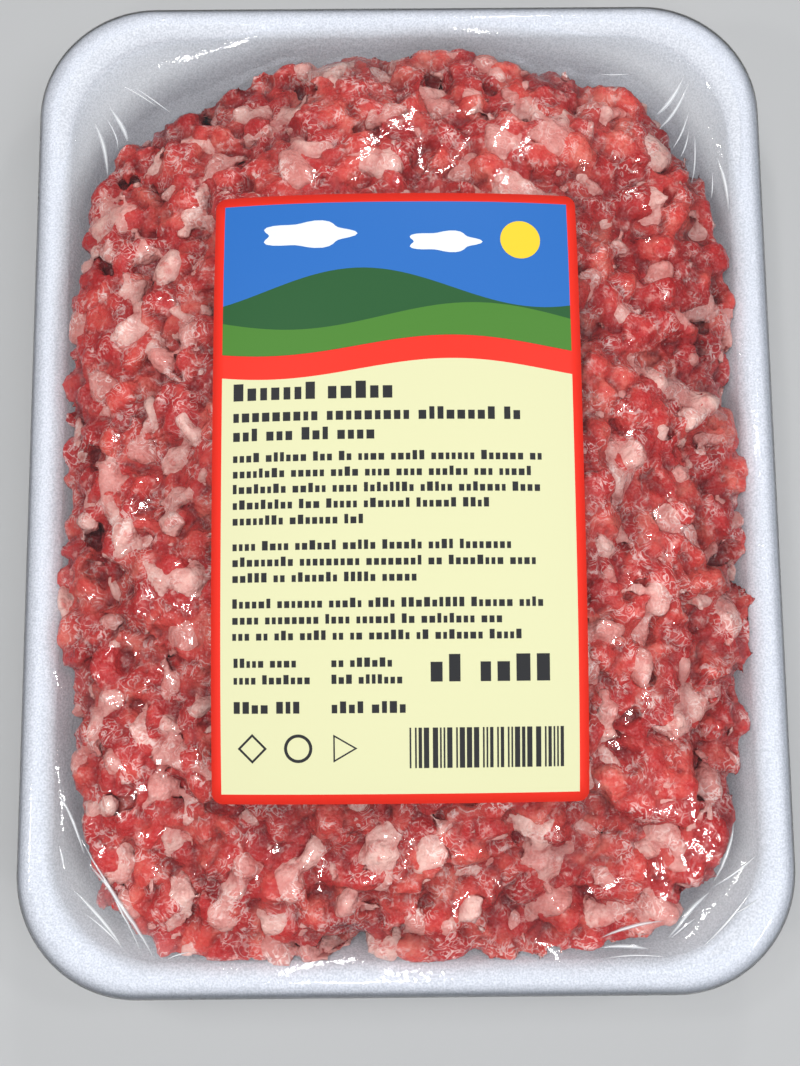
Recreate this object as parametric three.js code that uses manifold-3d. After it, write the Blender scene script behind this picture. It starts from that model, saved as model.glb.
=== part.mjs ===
// A supermarket pack of minced meat: a white foam tray, a mound of coarse mince in it, clear
// stretch film pulled over mound and rim and folded under the tray, and a paper label on top.
// Millimetres, +Z up. X runs across the tray, Y along it; the pack stands on z = 0.

import * as THREE from "three";
import { mergeVertices } from "three/addons/utils/BufferGeometryUtils.js";
import Module from "manifold-3d";

const wasm = await Module();
wasm.setup();

// Tray
const TRAY_WIDTH = 133;
const TRAY_LENGTH = 178;
const TRAY_HEIGHT = 29.3;
const RIM_CORNER_RADIUS = 21;
const CORNER_TAPER = 0.35; // how much the corner radius shrinks for each mm of inset
const LIP_WIDTH = 7;
const LIP_DROP = 3.2; // height of the lip's rounded top
const LIP_THICKNESS = 2.4; // of its outer edge, under the rounded top
const WALL_THICKNESS = 3.8;
const FLOOR_THICKNESS = 3.8;
const FOOT_INSET = 13.5; // from the rim's outer edge to the foot of the outer wall
const FOOT_ROUNDING = 5;
const FLOOR_ROUNDING = 7;

// Film, drawn thicker than the real 0.015 mm so that it is a solid
const FILM_THICKNESS = 0.4;
const GAP = 0.3; // clearance between neighbouring solids
const FILM_HEM_INSET = 42; // its edge under the tray, from the rim's outer edge
const DOME_RISE = 13.4; // of the film's top above the rim
const DOME_POWER_X = 2.4;
const DOME_POWER_Y = 2.8;
const DOME_SKEW = 0.1; // the far end of the mound is a little higher
const DOME_CUTOFF = 0.035; // levels the film at the rounded corners of the rim

// Mound of mince under the film
const MOUND_CENTRE_Y = -2.2;
const MOUND_HALF_WIDTH = 61;
const MOUND_HALF_LENGTH = 82;
const MOUND_SQUARENESS = 3.4; // exponent of the mound's outline
const MOUND_SHOULDER = 40; // exponent of the drop at the mound's steep sides
const CORE_SHARE = 0.95; // of the mound's outline that the bare core fills
const CORE_DEPTH = 0.8; // of the core's highest points below the tops of the lumps
const BUMP_PITCH = 4.2; // of the relief on the core
const BUMP_SHIFT = 2.8;
const BUMP_DEPTH = 3.2;
const BUMP_BIAS = 1.5; // exponent of chance: over 1, most bumps stay near the top
const LUMP_PITCH = 10.8;
const LUMP_RADIUS = 4.7;
const LUMP_SPREAD = 0.3; // share by which lumps differ in size
const LUMP_UNEVENNESS = 1.3; // of the lumps' tops under the film
const LUMP_NUDGE = 0.45; // most that chance moves a lump, as a share of the pitch
const LUMP_REACH = 0.96; // of the mound's outline, for the lumps' centres
const SIDE_LUMP_TOP = 23.5; // least height of the tops of the lumps on the mound's side
const LUMP_SEED = 20261;

// Label
const LABEL_WIDTH = 61.6;
const LABEL_LENGTH = 102;
const LABEL_X = -0.9;
const LABEL_Y = -4.6;
const LABEL_CORNER_RADIUS = 1.8;
const LABEL_THICKNESS = 0.4;

// Facets of each round corner and of each straight side across (x) and along (y) the pack
const TRAY_FACETS = { corner: 6, x: 1, y: 1 };
const FILM_FACETS = { corner: 6, x: 4, y: 6 };
const LABEL_FACETS = { corner: 2, x: 5, y: 7 };
const MOUND_FACETS = 44;
const LIP_TURNS = [1, 0.86, 0.74, 0.62]; // corners of the lip's section, from its edge inward

// Worked out from the sizes above
const TRAY_BASE = FILM_THICKNESS + GAP;
const TRAY_FLOOR = TRAY_BASE + FLOOR_THICKNESS;
const RIM_TOP = TRAY_BASE + TRAY_HEIGHT;
const LIP_UNDERSIDE = RIM_TOP - LIP_DROP - LIP_THICKNESS;
const CREST_INSET = LIP_WIDTH / 2;
const CREST_HALF_WIDTH = TRAY_WIDTH / 2 - CREST_INSET;
const CREST_HALF_LENGTH = TRAY_LENGTH / 2 - CREST_INSET;
const CREST_RADIUS = RIM_CORNER_RADIUS - CORNER_TAPER * CREST_INSET;

// Shape helpers

// Seeded random numbers from 0 to 1, so that every build has the same lumps.
function seededRandom(seed) {
  let state = seed;
  return () => {
    state = (state + 0x6d2b79f5) | 0;
    let t = Math.imul(state ^ (state >>> 15), 1 | state);
    t = (t + Math.imul(t ^ (t >>> 7), 61 | t)) ^ t;
    return ((t ^ (t >>> 14)) >>> 0) / 2 ** 32;
  };
}

// Points of a rounded rectangle, counter-clockwise seen from above, as [x, y] pairs.
// The straight sides are split too, so that a ring can bend over the mound.
function roundedRectangle(halfX, halfY, radius, facets) {
  const corners = [
    { sx: 1, sy: 1, nextSide: facets.x },
    { sx: -1, sy: 1, nextSide: facets.y },
    { sx: -1, sy: -1, nextSide: facets.x },
    { sx: 1, sy: -1, nextSide: facets.y },
  ];
  const arcs = corners.map(({ sx, sy }, quarter) => {
    const arc = [];
    for (let i = 0; i <= facets.corner; i++) {
      const angle = ((quarter + i / facets.corner) * Math.PI) / 2;
      const x = sx * (halfX - radius) + radius * Math.cos(angle);
      const y = sy * (halfY - radius) + radius * Math.sin(angle);
      arc.push([x, y]);
    }
    return arc;
  });
  return arcs.flatMap((arc, c) => {
    const [from, to] = [arc.at(-1), arcs[(c + 1) % arcs.length][0]];
    const side = [];
    for (let i = 1; i < corners[c].nextSide; i++) {
      const share = i / corners[c].nextSide;
      side.push([from[0] + (to[0] - from[0]) * share, from[1] + (to[1] - from[1]) * share]);
    }
    return [...arc, ...side];
  });
}

// A level ring of the tray or its wrapping, at an inset from the rim's outer edge.
function insetRing([inset, z], facets) {
  const radius = RIM_CORNER_RADIUS - CORNER_TAPER * inset;
  const [halfX, halfY] = [TRAY_WIDTH / 2 - inset, TRAY_LENGTH / 2 - inset];
  return roundedRectangle(halfX, halfY, radius, facets).map(([x, y]) => [x, y, z]);
}

// Joins rings into one closed surface, with a fan from the point start to the first ring and
// from the last ring to the point end. Rings that rise have their outside on the right.
function loft(start, rings, end) {
  const count = rings[0].length;
  const positions = [...rings.flat(2), ...start, ...end];
  const [startPoint, endPoint] = [rings.length * count, rings.length * count + 1];
  const lastRing = (rings.length - 1) * count;
  const index = [];
  for (let i = 0; i < count; i++) {
    const j = (i + 1) % count;
    index.push(j, i, startPoint, lastRing + i, lastRing + j, endPoint);
    for (let r = 0; r < rings.length - 1; r++) {
      const [a, b] = [r * count + i, r * count + j];
      index.push(a, b, b + count, a, b + count, a + count);
    }
  }
  const geometry = new THREE.BufferGeometry();
  geometry.setAttribute("position", new THREE.Float32BufferAttribute(positions, 3));
  geometry.setIndex(index);
  geometry.computeVertexNormals();
  return geometry;
}

function toSolid(geometry) {
  const bare = geometry.clone();
  bare.deleteAttribute("normal");
  bare.deleteAttribute("uv");
  const merged = mergeVertices(bare, 1e-4);
  return new wasm.Manifold(
    new wasm.Mesh({
      numProp: 3,
      vertProperties: new Float32Array(merged.attributes.position.array),
      triVerts: new Uint32Array(merged.index.array),
    }),
  );
}

function toGeometry(solid) {
  const mesh = solid.getMesh();
  const geometry = new THREE.BufferGeometry();
  geometry.setAttribute("position", new THREE.BufferAttribute(mesh.vertProperties, 3));
  geometry.setIndex(new THREE.BufferAttribute(mesh.triVerts, 1));
  geometry.computeVertexNormals();
  return geometry;
}

// The outer shell of a solid's main body: sealed pockets are filled and loose scraps dropped.
function wholeBody(solid) {
  return solid.decompose().reduce((best, body) => (body.volume() > best.volume() ? body : best));
}

// Surfaces that the pieces share

// Height of the film's inner face over the tray: level on the rim, domed over the mince.
function filmHeight(x, y) {
  const across = Math.max(0, 1 - Math.abs(x / CREST_HALF_WIDTH) ** DOME_POWER_X);
  const along = Math.max(0, 1 - Math.abs(y / CREST_HALF_LENGTH) ** DOME_POWER_Y);
  const bulge = Math.max(0, across * along - DOME_CUTOFF) / (1 - DOME_CUTOFF);
  const skew = 1 + (DOME_SKEW * y) / CREST_HALF_LENGTH;
  return RIM_TOP + GAP + DOME_RISE * bulge * skew;
}

// Rings over the open top, from the rim's crest inward, each point at the film's height.
function domeRings(lift) {
  return [1, 0.93, 0.84, 0.72, 0.57, 0.38, 0.18].map((share) => {
    const [halfX, halfY] = [CREST_HALF_WIDTH * share, CREST_HALF_LENGTH * share];
    const outline = roundedRectangle(halfX, halfY, CREST_RADIUS * share, FILM_FACETS);
    return outline.map(([x, y]) => [x, y, filmHeight(x, y) + lift]);
  });
}

// The lip's rounded top in section, as [inset, z], grown by an offset. It turns from 0 at the
// lip's inner edge through 0.5 at its crest to 1 at its outer edge.
function lipPoint(turn, offset) {
  const angle = turn * Math.PI;
  return [
    CREST_INSET + (CREST_INSET + offset) * Math.cos(angle),
    RIM_TOP - LIP_DROP + (LIP_DROP + offset) * Math.sin(angle),
  ];
}

// The lip's lower outer edge in section, grown by an offset.
function lipEdge(offset) {
  return [LIP_WIDTH / 12 - offset, LIP_UNDERSIDE + LIP_THICKNESS / 5 - offset];
}

// The round at the foot of a sloping wall in section, as [inset, z], down to a level height.
function footRound(inset, height, radius) {
  return [1 / 3, 2 / 3, 1].map((turn) => {
    const angle = (turn * Math.PI) / 2;
    return [inset + radius * (1 - Math.cos(angle)), height + radius * (1 - Math.sin(angle))];
  });
}

// The inside of the tray in section, from near the lip's crest down to the flat floor.
function cavitySection(clearance) {
  const lip = [0.34, 0.2].map((turn) => lipPoint(turn, clearance));
  const wallFoot = FOOT_INSET + WALL_THICKNESS - FLOOR_ROUNDING / 3 + clearance;
  return [...lip, ...footRound(wallFoot, TRAY_FLOOR + clearance, FLOOR_ROUNDING)];
}

// Pieces

function foamTray() {
  const foot = footRound(FOOT_INSET, TRAY_BASE, FOOT_ROUNDING).reverse();
  const underLip = [
    [LIP_WIDTH, LIP_UNDERSIDE - LIP_WIDTH / 4],
    [LIP_WIDTH / 2, LIP_UNDERSIDE],
    lipEdge(0),
  ];
  const lip = [...LIP_TURNS, 0.5].map((turn) => lipPoint(turn, 0));
  const section = [...foot, ...underLip, ...lip, ...cavitySection(0)];
  const rings = section.map((point) => insetRing(point, TRAY_FACETS));
  return loft([0, 0, TRAY_BASE], rings, [0, 0, TRAY_FLOOR]);
}

// The film's two faces, joined at its hem under the tray, which leaves the middle bare.
function stretchFilm() {
  const face = (offset) => {
    const underTray = TRAY_BASE - offset;
    const foot = footRound(FOOT_INSET - offset, underTray, FOOT_ROUNDING + offset).reverse();
    const lip = LIP_TURNS.map((turn) => lipPoint(turn, offset));
    const section = [[FILM_HEM_INSET, underTray], ...foot, lipEdge(offset), ...lip];
    const wrap = section.map((point) => insetRing(point, FILM_FACETS));
    return [...wrap, ...domeRings(offset - GAP)];
  };
  const inner = face(GAP).reverse();
  const outer = face(GAP + FILM_THICKNESS);
  const top = filmHeight(0, 0);
  return loft([0, 0, top], [...inner, ...outer], [0, 0, top + FILM_THICKNESS]);
}

// The space inside the tray and under the film, less the clearance: the mince is cut to it.
function packInterior() {
  const section = cavitySection(GAP).reverse();
  const rings = section.map((point) => insetRing(point, FILM_FACETS));
  return toSolid(
    loft([0, 0, TRAY_FLOOR + GAP], [...rings, ...domeRings(-GAP)], [0, 0, filmHeight(0, 0) - GAP]),
  );
}

// A point of the mound's outline, shrunk towards its middle by a share.
function moundPoint(share, turn) {
  const angle = turn * 2 * Math.PI;
  const bend = (value) => Math.sign(value) * Math.abs(value) ** (2 / MOUND_SQUARENESS);
  const x = share * MOUND_HALF_WIDTH * bend(Math.cos(angle));
  const y = share * MOUND_HALF_LENGTH * bend(Math.sin(angle)) + MOUND_CENTRE_Y;
  return [x, y];
}

// How far out a point lies on the mound: 0 at its middle, 1 on its outline.
function moundRadius(x, y) {
  const across = Math.abs(x / MOUND_HALF_WIDTH) ** MOUND_SQUARENESS;
  const along = Math.abs((y - MOUND_CENTRE_Y) / MOUND_HALF_LENGTH) ** MOUND_SQUARENESS;
  return (across + along) ** (1 / MOUND_SQUARENESS);
}

// Height of the lumps' tops: under the film over most of the mound, dropping at its sides.
function moundTop(x, y) {
  const out = Math.min(1, moundRadius(x, y));
  const shoulder = Math.sqrt(1 - out ** MOUND_SHOULDER);
  return TRAY_FLOOR + (filmHeight(x, y) - GAP - TRAY_FLOOR) * shoulder;
}

// A block whose top is a grid of points that chance moves sideways and sinks into dents.
function dentedBlock(random) {
  const columns = Math.round((2 * MOUND_HALF_WIDTH) / BUMP_PITCH);
  const rows = Math.round((2 * MOUND_HALF_LENGTH) / BUMP_PITCH);
  const [width, length] = [columns * BUMP_PITCH, rows * BUMP_PITCH];
  const block = new THREE.BoxGeometry(width, length, 1, columns, rows, 1);
  const chances = Array.from({ length: (columns + 1) * (rows + 1) }, () => {
    return { across: random() - 0.5, along: random() - 0.5, depth: random() };
  });
  const points = block.attributes.position;
  for (let i = 0; i < points.count; i++) {
    const column = Math.round((points.getX(i) + width / 2) / BUMP_PITCH);
    const row = Math.round((points.getY(i) + length / 2) / BUMP_PITCH);
    const chance = chances[row * (columns + 1) + column];
    const x = points.getX(i) + BUMP_SHIFT * chance.across;
    const y = points.getY(i) + BUMP_SHIFT * chance.along + MOUND_CENTRE_Y;
    const base = TRAY_FLOOR + GAP;
    const top = moundTop(x, y) - CORE_DEPTH - BUMP_DEPTH * chance.depth ** BUMP_BIAS;
    points.setXYZ(i, x, y, points.getZ(i) < 0 ? base : Math.max(top, base + GAP));
  }
  return toSolid(block);
}

// The bare core: the dented block, cut to the mound's outline.
function moundCore(random) {
  const outline = new THREE.Shape();
  for (let i = 0; i < MOUND_FACETS; i++) {
    const [x, y] = moundPoint(CORE_SHARE, i / MOUND_FACETS);
    if (i === 0) {
      outline.moveTo(x, y);
    } else {
      outline.lineTo(x, y);
    }
  }
  const cutter = new THREE.ExtrudeGeometry(outline, { depth: 2 * RIM_TOP, bevelEnabled: false });
  return dentedBlock(random).intersect(toSolid(cutter));
}

function hiddenByLabel(x, y) {
  return (
    Math.abs(x - LABEL_X) < LABEL_WIDTH / 2 - LUMP_RADIUS &&
    Math.abs(y - LABEL_Y) < LABEL_LENGTH / 2 - LUMP_RADIUS
  );
}

// Tops of the lumps that cover the mound: staggered rows, each nudged off its place by chance.
function topPlaces(random) {
  const places = [];
  const rowPitch = LUMP_PITCH * Math.sqrt(0.75);
  const rows = Math.ceil(MOUND_HALF_LENGTH / rowPitch);
  const columns = Math.ceil(MOUND_HALF_WIDTH / LUMP_PITCH);
  const nudge = () => (random() - 0.5) * LUMP_PITCH * LUMP_NUDGE;
  for (let row = -rows; row <= rows; row++) {
    for (let column = -columns; column <= columns; column++) {
      const x = (column + (row % 2 ? 0.5 : 0)) * LUMP_PITCH + nudge();
      const y = MOUND_CENTRE_Y + row * rowPitch + nudge();
      if (moundRadius(x, y) < LUMP_REACH && !hiddenByLabel(x, y)) {
        places.push([x, y, moundTop(x, y)]);
      }
    }
  }
  return places;
}

// Tops of the lumps on the mound's steep side, just below its upper edge.
function sidePlaces(random) {
  const places = [];
  const around = Math.PI * Math.hypot(MOUND_HALF_WIDTH, MOUND_HALF_LENGTH) * Math.SQRT2;
  const count = Math.round(around / LUMP_PITCH);
  for (let i = 0; i < count; i++) {
    const [x, y] = moundPoint(CORE_SHARE, (i + 0.5 * random()) / count);
    places.push([x, y, SIDE_LUMP_TOP + LUMP_RADIUS * random()]);
  }
  return places;
}

function lump(random, [x, y, top]) {
  const size = LUMP_RADIUS * (1 + LUMP_SPREAD * (2 * random() - 1));
  const scale = new THREE.Vector3(
    size * (1 + 0.5 * random()),
    size * (0.85 + 0.2 * random()),
    size * (0.75 + 0.2 * random()),
  );
  const tilt = () => 0.7 * (random() - 0.5);
  const turn = new THREE.Quaternion().setFromEuler(
    new THREE.Euler(tilt(), tilt(), Math.PI * random()),
  );
  const place = new THREE.Vector3(x, y, top - scale.z - LUMP_UNEVENNESS * random());
  const geometry = new THREE.IcosahedronGeometry(1, 0);
  geometry.applyMatrix4(new THREE.Matrix4().compose(place, turn, scale));
  return toSolid(geometry);
}

function mincedMeat() {
  const random = seededRandom(LUMP_SEED);
  const core = moundCore(random);
  const places = [...topPlaces(random), ...sidePlaces(random)];
  const heap = places.reduce((joined, place) => joined.add(lump(random, place)), core);
  return toGeometry(wholeBody(heap.intersect(packInterior())));
}

function paperLabel() {
  const face = (lift) =>
    [1, 0.78, 0.55, 0.3].map((share) => {
      const [halfX, halfY] = [(LABEL_WIDTH / 2) * share, (LABEL_LENGTH / 2) * share];
      return roundedRectangle(halfX, halfY, LABEL_CORNER_RADIUS * share, LABEL_FACETS).map(
        ([x, y]) => onFilm(x + LABEL_X, y + LABEL_Y, lift),
      );
    });
  const onFilm = (x, y, lift) => [x, y, filmHeight(x, y) + lift];
  const under = FILM_THICKNESS + GAP;
  const over = under + LABEL_THICKNESS;
  return loft(
    onFilm(LABEL_X, LABEL_Y, under),
    [...face(under).reverse(), ...face(over)],
    onFilm(LABEL_X, LABEL_Y, over),
  );
}

// Finishes

const FOAM = { color: 0xe9edf2, roughness: 0.6 };
const MEAT = { color: 0xb9443f, roughness: 0.35 };
const FILM = { color: 0xf4f7fa, roughness: 0.08, transparent: true, opacity: 0.2 };
const LABEL = { color: 0xe8e6bc, roughness: 0.45 };

function namedMesh(name, geometry, finish) {
  const mesh = new THREE.Mesh(
    geometry,
    new THREE.MeshStandardMaterial({ metalness: 0, ...finish }),
  );
  mesh.name = name;
  return mesh;
}

const pack = new THREE.Group();
pack.name = "minced_meat_pack";
pack.add(namedMesh("foam_tray", foamTray(), FOAM));
pack.add(namedMesh("minced_meat", mincedMeat(), MEAT));
pack.add(namedMesh("stretch_film", stretchFilm(), FILM));
pack.add(namedMesh("paper_label", paperLabel(), LABEL));

export default pack;
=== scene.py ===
# Looks of the pack of minced meat: the foam tray, the mince, the stretch film and the label.
# Sizes and arrays are in millimetres, as in the part's source; meshes are made in metres.

import itertools
import math

import bmesh
import bpy
import numpy as np
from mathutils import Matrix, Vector, kdtree


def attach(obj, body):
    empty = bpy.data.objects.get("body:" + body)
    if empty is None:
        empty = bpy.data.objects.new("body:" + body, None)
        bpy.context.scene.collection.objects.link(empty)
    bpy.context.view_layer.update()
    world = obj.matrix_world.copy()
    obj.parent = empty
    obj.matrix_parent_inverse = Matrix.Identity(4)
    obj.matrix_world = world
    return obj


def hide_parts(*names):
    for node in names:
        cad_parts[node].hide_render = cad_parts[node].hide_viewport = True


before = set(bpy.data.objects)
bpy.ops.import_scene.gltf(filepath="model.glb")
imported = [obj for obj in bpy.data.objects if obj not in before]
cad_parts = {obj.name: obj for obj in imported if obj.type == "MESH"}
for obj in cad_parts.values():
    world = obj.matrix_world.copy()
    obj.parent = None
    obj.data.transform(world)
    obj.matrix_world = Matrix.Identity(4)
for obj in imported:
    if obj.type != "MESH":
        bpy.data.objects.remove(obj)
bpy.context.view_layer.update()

MM = 0.001

# Tray, as in the part's source
TRAY_WIDTH = 133
TRAY_LENGTH = 178
TRAY_HEIGHT = 29.3
RIM_CORNER_RADIUS = 21
CORNER_TAPER = 0.35
LIP_WIDTH = 7
LIP_DROP = 3.2
LIP_THICKNESS = 2.4
WALL_THICKNESS = 3.8
FLOOR_THICKNESS = 3.8
FOOT_INSET = 13.5
FOOT_ROUNDING = 5
FLOOR_ROUNDING = 7
LIP_END = 0.2  # where the lip's rounded top meets the wall, in half turns

# Film and mound, as in the part's source
FILM_THICKNESS = 0.4
GAP = 0.3
FILM_HEM_INSET = 42
DOME_RISE = 13.4
DOME_POWER_X = 2.4
DOME_POWER_Y = 2.8
DOME_SKEW = 0.1
DOME_CUTOFF = 0.035
MOUND_CENTRE_Y = -2.2
MOUND_HALF_WIDTH = 61
MOUND_HALF_LENGTH = 82
MOUND_SQUARENESS = 3.4
MOUND_SHOULDER = 40

TRAY_BASE = FILM_THICKNESS + GAP
TRAY_FLOOR = TRAY_BASE + FLOOR_THICKNESS
RIM_TOP = TRAY_BASE + TRAY_HEIGHT
LIP_UNDERSIDE = RIM_TOP - LIP_DROP - LIP_THICKNESS
CREST_INSET = LIP_WIDTH / 2
CREST_HALF_WIDTH = TRAY_WIDTH / 2 - CREST_INSET
CREST_HALF_LENGTH = TRAY_LENGTH / 2 - CREST_INSET
CREST_RADIUS = RIM_CORNER_RADIUS - CORNER_TAPER * CREST_INSET
CREST = (CREST_HALF_WIDTH, CREST_HALF_LENGTH, CREST_RADIUS)
WALL_FOOT = FOOT_INSET + WALL_THICKNESS - FLOOR_ROUNDING / 3

# Label
LABEL_WIDTH = 61.6
LABEL_LENGTH = 102
LABEL_X = -0.9
LABEL_Y = -4.6
LABEL_CORNER_RADIUS = 1.8
LABEL_LIFT = 0.75  # of its top above the dome's height
LABEL_PAPER = 0.15
PRINT_LIFT = 0.03  # of each printed colour above the one below it
PRINT_CELL = 4  # printed fields are cut into cells of this size, which follow the label

# Mince
MINCE_SEED = 8141
KNEADING_SEED = MINCE_SEED + 1
RELIEF_SEED = MINCE_SEED + 20
GROOVE_SEED = MINCE_SEED + 30
LEAN, FAT = "lean_mince", "fat_mince"
VOXELS = {LEAN: 0.6, FAT: 0.66}  # fineness of the fused skins
# Layers of lumps: kind, spacing, least and most depth of the tops, least and most
# half-length, and how fine the lumps' shape is
LAYERS = (
    {"kind": LEAN, "pitch": 6.3, "sink": (0.0, 1.8), "size": (2.7, 4.4), "level": 4},
    {"kind": LEAN, "pitch": 5.4, "sink": (1.6, 3.4), "size": (2.5, 3.8), "level": 3},
    {"kind": LEAN, "pitch": 4.4, "sink": (0.6, 2.4), "size": (0.9, 1.9), "level": 3},
    {"kind": FAT, "pitch": 10.4, "sink": (-0.1, 1.4), "size": (1.9, 4.2), "level": 4},
    {"kind": FAT, "pitch": 9.2, "sink": (0.9, 2.8), "size": (1.8, 3.4), "level": 3},
    {"kind": FAT, "pitch": 5.0, "sink": (0.3, 2.4), "size": (0.6, 1.5), "level": 3},
)
TOP_NUDGE = 0.42  # chance shift of each lump, as a share of the spacing
TOP_REACH = 0.985  # lumps start within this share of the mound's outline
SMALL_LUMP = 2  # layers of smaller lumps are crumbs, without crevices of their own
# Rows of lumps down the mound's steep side
SIDE_LEVELS = (9, 14, 19, 24, 28)  # heights of the rows
SIDE_PITCH = 6.0
SIDE_LENGTH = 3.5  # of the mound's outline, for half its width and half its length together
SIDE_NUDGE = 0.8  # chance shift along a row, as a share of the spacing
SIDE_STAGGER = 2  # chance shift up or down
SIDE_FINENESS = 3
SIDE_FAT = 0.18  # share of these lumps that is fat
SIDE_SIZES = {LEAN: (2.8, 4.2), FAT: (2.2, 3.8)}
# Shape of a lump
LUMP_SPANS = ((1.0, 1.5), (0.78, 1.0), (0.7, 0.95))  # least and most length, width and height
SIZE_POWER = {LEAN: 1, FAT: 1.4}  # above 1, small lumps are the commoner
LUMP_TILT = 0.6
LUMP_SINK = 0.85  # how far its middle lies under its top, as a share of its half-height
LUMP_CLEARANCE = (0, 0.6)  # least and most room over it
LUMP_DENTS = 0.34  # depth of its dents, as a share of its size
DENT_FINENESS = 1.2
DENT_SHIFT = 30  # within which each lump takes its dents from the noise
LUMP_FLATS = 3  # number of sides pressed flat
FLAT_REACH = (0.55, 1.0)  # least and most distance of these from its middle
# Bends that run through all lumps: width and reach
KNEADING = {
    LEAN: ((10, 1.8), (4, 1.0), (2, 0.45)),
    FAT: ((10, 1.8), (4, 0.7), (2, 0.315)),
}
LUMP_RELIEF = ((1.4, 0.16), (2.6, 0.1))  # width and height of the small bumps
# Crevices pressed in between neighbouring lumps
GROOVE_DEPTH = 0.6
GROOVE_WIDTH = 0.8
GROOVE_WOBBLE = (2.2, 0.8)  # width and reach of the bends in them
# The mound's limits
MOUND_EDGE = 0.96  # from this share of the outline on, points are pushed in
MOUND_LIMIT = 1.015  # and stay within this share, until the outline is dented
SHOULDER_EDGE = 0.94  # the mound's side keeps the height that it has at this share
EDGE_BULGE = 1.5  # how much the mound's upper edge swells over the tray's lip
BULGE_POWER = 8
# Where the mound's outline is drawn in, or swells if the depth is negative: place, reach, depth
OUTLINE_DENTS = (
    (-38, 78, 19, 6.5),
    (34, 80, 14, 2.5),
    (50, -67, 17, -4.5),
    (-45, -74, 15, -5),
)
TOP_SPARE = 0.45  # how far at most a lump rises above the mound's top
TOP_GIVE = 1.5  # how softly it is pressed down to that
CORE_FACETS = 96
# Rings of the core: share of the mound's outline and depth under its top, or none at the floor
CORE_RINGS = ((0.9, None), (0.94, 15), (0.92, 5), (0.84, 3.2), (0.65, 3.2), (0.4, 3.2), (0.2, 3.2))
# Painted shade, where shade falls in the mince: depth and hollowness at which it is darkest,
# and the shares of depth, of crevices between lumps and of hollows in them
SHADE_DEPTH = 5
SHADE_HOLLOW = 0.5
SHADE_SHARES = (0.35, 0.2, 0.45)
# Rounds of averaging over the skin, to find hollows and to soften the lumps' tints
HOLLOW_ROUNDS = 6
TONE_ROUNDS = 3
# What can't be seen is drawn together into cells
HIDDEN_MARGIN = 4  # under the label, from its edge
HIDDEN_FOOT = 8  # near the floor, up to this height
HIDDEN_DEPTH = 5  # deep under the mound's top
HIDDEN_REACH = 0.88  # and within this share of its outline
HIDDEN_SLOPE = -0.25  # facing down more than this
HIDDEN_OVERHANG = 1.2  # and this deep
HIDDEN_CELL = 3

# Colours. Flecks and strands with painted glints set in while their noise goes from one of their places
# to the other.
FOAM_TINTS = ((0.38, (0.57, 0.595, 0.65)), (0.62, (0.78, 0.80, 0.86)))
LEAN_LOOK = {
    "tints": (
        (0.0, (0.41, 0.016, 0.018)),
        (0.35, (0.56, 0.038, 0.038)),
        (0.65, (0.67, 0.085, 0.068)),
        (1.0, (0.78, 0.230, 0.175)),
    ),
    "flecks": {"colour": (0.86, 0.40, 0.36), "places": (0.57, 0.74)},
    # pale curly strands, partly painted glints
    "strands_and_glints": {"colour": (0.93, 0.68, 0.65), "places": (0.44, 0.60)},
    # colour of the painted shade in crevices, hollows and deep places
    "hollow": (0.11, 0.006, 0.010),
}
FAT_LOOK = {
    "tints": (
        (0.0, (0.60, 0.200, 0.175)),
        (0.4, (0.72, 0.350, 0.315)),
        (0.8, (0.83, 0.570, 0.510)),
    ),
    "flecks": {"colour": (0.68, 0.25, 0.22), "places": (0.52, 0.66)},
    # pale curly strands, partly painted glints
    "strands_and_glints": {"colour": (0.95, 0.82, 0.78), "places": (0.46, 0.60)},
    # colour of the painted shade in crevices, hollows and deep places
    "hollow": (0.40, 0.07, 0.065),
}
TONE_REACH = (0.6, 0.2)  # how far the lumps' tints differ, and where they start
MOTTLE_REACH = 1.3
STRAND_AND_GLINT_WIDTH = 0.05
FILM_WHITE = (0.95, 0.96, 0.97)


# Random values


def noise(points, cell, seed):
    """Smooth random values from -1 to 1 at the points, with bumps about a cell wide."""
    size = 32
    lattice = np.random.default_rng(seed).uniform(-1, 1, (size, size, size))
    scaled = points / cell
    floor = np.floor(scaled)
    share = scaled - floor
    share = share * share * (3 - 2 * share)
    ends = [floor.astype(np.int32) % size, (floor.astype(np.int32) + 1) % size]
    weights = [1 - share, share]
    total = np.zeros(points.shape[:-1])
    for a, b, c in itertools.product((0, 1), repeat=3):
        weight = weights[a][..., 0] * weights[b][..., 1] * weights[c][..., 2]
        total += weight * lattice[ends[a][..., 0], ends[b][..., 1], ends[c][..., 2]]
    return total


def random_turns(rng, count, tilt):
    """Rotation matrices: any turn about Z, then a tilt of at most that angle."""
    turn = rng.uniform(0, 2 * math.pi, count)
    lean = rng.uniform(-tilt, tilt, count)
    cos_t, sin_t, cos_l, sin_l = np.cos(turn), np.sin(turn), np.cos(lean), np.sin(lean)
    zero, one = np.zeros(count), np.ones(count)
    about_z = np.array([[cos_t, -sin_t, zero], [sin_t, cos_t, zero], [zero, zero, one]])
    about_x = np.array([[one, zero, zero], [zero, cos_l, -sin_l], [zero, sin_l, cos_l]])
    return np.einsum("ijn,jkn->nik", about_z, about_x)


# Meshes


def mesh_object(name, points, faces, material, smooth=True):
    """An object from points in millimetres and faces as lists of point numbers."""
    mesh = bpy.data.meshes.new(name)
    mesh.from_pydata(np.asarray(points, float) * MM, [], np.asarray(faces, object).tolist())
    mesh.polygons.foreach_set("use_smooth", [smooth] * len(mesh.polygons))
    mesh.update()
    mesh.materials.append(material)
    piece = bpy.data.objects.new(name, mesh)
    bpy.context.scene.collection.objects.link(piece)
    return piece


def add_piece(name, points, faces, material, node, slot, smooth=True, **values):
    """A piece of the pack that stands for a CAD node, with numbers on its points."""
    piece = mesh_object(name, points, faces, material, smooth)
    for key, numbers in values.items():
        layer = piece.data.attributes.new(key, "FLOAT", "POINT")
        layer.data.foreach_set("value", numbers)
    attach(piece, "root")
    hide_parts(node)


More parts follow.
